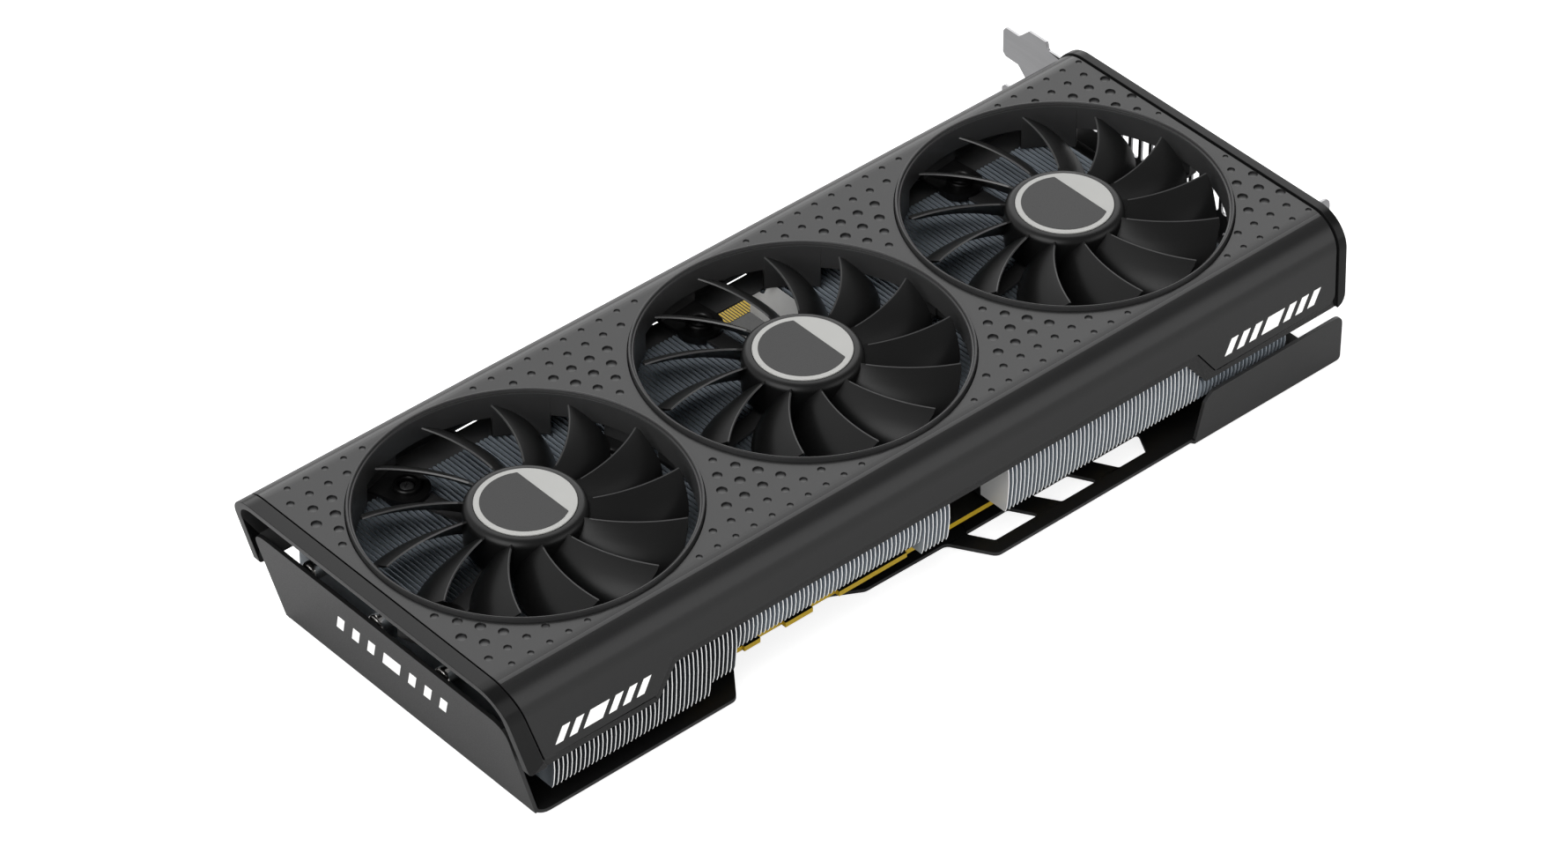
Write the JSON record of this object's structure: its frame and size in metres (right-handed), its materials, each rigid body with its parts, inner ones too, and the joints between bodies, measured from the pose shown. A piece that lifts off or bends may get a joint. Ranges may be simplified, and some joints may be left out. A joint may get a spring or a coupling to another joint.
{
  "type": "graphics card",
  "caption": "Long graphics card with a row of axial fans in a rounded shroud over finned coolers, a backplate folded up at the tail, a slot bracket and an edge connector.",
  "frame": {"origin": "on the outer face of the backplate, straight under the middle fan's axis", "axes": "+X along the card towards the slot bracket, +Y towards the edge connector, +Z out of the fans; the card lies on its backplate"},
  "size_m": [0.316, 0.1407, 0.0499],
  "materials": {
    "frame_plastic": "moulded black, satin to glossy",
    "cover_plastic": "fine matt grey, darker on the long edges",
    "backplate_paint": "matt grey paint on sheet metal",
    "board": "black solder mask over a yellow-brown laminate edge",
    "gold": "bright gold plating",
    "bracket_steel": "satin plated steel",
    "socket_metal": "bright plated shell",
    "fin_aluminium": "bare sheet",
    "pipe_nickel": "nickel plated copper",
    "copper": "machined copper",
    "plate_paint": "black painted plate",
    "package": "green laminate",
    "silicon": "polished silicon",
    "chip_plastic": "moulded black resin",
    "ferrite": "pressed grey powder",
    "connector_plastic": "moulded black nylon",
    "spring_steel": "bare spring steel",
    "screw_black": "black zinc",
    "fan_plastic": "satin black",
    "badge_metal": "bright silver foil with a dark inlay",
    "yoke_steel": "deep drawn steel",
    "magnet": "bonded ferrite",
    "shaft_steel": "ground and hardened",
    "bearing_bronze": "sintered bronze",
    "winding": "enamelled copper on laminations",
    "fan_base_plastic": "moulded black"
  },
  "bodies": {
    "card": {"shroud_frame": "frame_plastic", "shroud_cover": "cover_plastic", "backplate": "backplate_paint", "pcb": "board", "contacts_front_short": "gold", "contacts_front_long": "gold", "contacts_back_short": "gold", "contacts_back_long": "gold", "io_bracket": "bracket_steel", "video_socket_1": "socket_metal", "video_socket_2": "socket_metal", "video_socket_3": "socket_metal", "video_socket_4": "socket_metal", "fin_stack_left": "fin_aluminium", "fin_stack_right": "fin_aluminium", "heat_pipe_1": "pipe_nickel", "heat_pipe_2": "pipe_nickel", "heat_pipe_3": "pipe_nickel", "cold_plate": "copper", "front_plate": "plate_paint", "gpu_package": "package", "gpu_die": "silicon", "memory_chip_1": "chip_plastic", "memory_chip_2": "chip_plastic", "memory_chip_3": "chip_plastic", "memory_chip_4": "chip_plastic", "choke_1": "ferrite", "choke_2": "ferrite", "choke_3": "ferrite", "power_connector": "connector_plastic", "retention_bracket": "spring_steel", "retention_screw_1": "screw_black", "retention_screw_2": "screw_black", "retention_screw_3": "screw_black", "retention_screw_4": "screw_black", "sleeve_bearing_1": "bearing_bronze", "motor_stator_1": "winding", "fan_base_1": "fan_base_plastic", "sleeve_bearing_2": "bearing_bronze", "motor_stator_2": "winding", "fan_base_2": "fan_base_plastic", "sleeve_bearing_3": "bearing_bronze", "motor_stator_3": "winding", "fan_base_3": "fan_base_plastic"},
    "fan_1": {"fan_rotor_1": "fan_plastic", "hub_badge_1": "badge_metal", "rotor_yoke_1": "yoke_steel", "rotor_magnet_1": "magnet", "fan_shaft_1": "shaft_steel"},
    "fan_2": {"fan_rotor_2": "fan_plastic", "hub_badge_2": "badge_metal", "rotor_yoke_2": "yoke_steel", "rotor_magnet_2": "magnet", "fan_shaft_2": "shaft_steel"},
    "fan_3": {"fan_rotor_3": "fan_plastic", "hub_badge_3": "badge_metal", "rotor_yoke_3": "yoke_steel", "rotor_magnet_3": "magnet", "fan_shaft_3": "shaft_steel"}
  },
  "joints": [
    {"name": "fan_1_spin", "type": "hinge", "parent": "card", "child": "fan_1", "pos_m": [-0.097, 0, 0.043], "axis": [0, 0, 1], "continuous": true},
    {"name": "fan_2_spin", "type": "hinge", "parent": "card", "child": "fan_2", "pos_m": [0, 0, 0.043], "axis": [0, 0, 1], "continuous": true},
    {"name": "fan_3_spin", "type": "hinge", "parent": "card", "child": "fan_3", "pos_m": [0.097, 0, 0.043], "axis": [0, 0, 1], "continuous": true}
  ]
}
